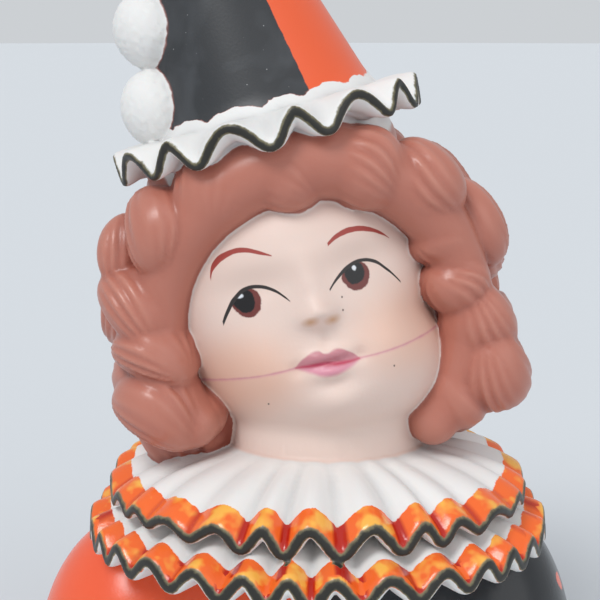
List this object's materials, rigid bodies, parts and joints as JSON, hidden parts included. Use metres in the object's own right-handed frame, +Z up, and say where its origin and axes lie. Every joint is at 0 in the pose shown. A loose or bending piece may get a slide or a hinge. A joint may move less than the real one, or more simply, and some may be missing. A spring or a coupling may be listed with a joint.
{
  "type": "clown figurine bust",
  "caption": "Bust of a clown child in painted bisque porcelain, with a leaning cone hat trimmed with pompoms, a wig of curls and a frilled collar, cut flat below.",
  "frame": {"origin": "middle of the flat underside, straight below the middle of the collar", "axes": "+Z up, -Y the way the figure faces, +X to the figure's left"},
  "size_m": [0.0527, 0.044, 0.0953],
  "materials": {
    "painted_bisque": "matt bisque skin and white frills, satin painted hair, glossy orange and black costume paint"
  },
  "bodies": {
    "root": {"clown_bust": "painted_bisque"}
  },
  "joints": []
}
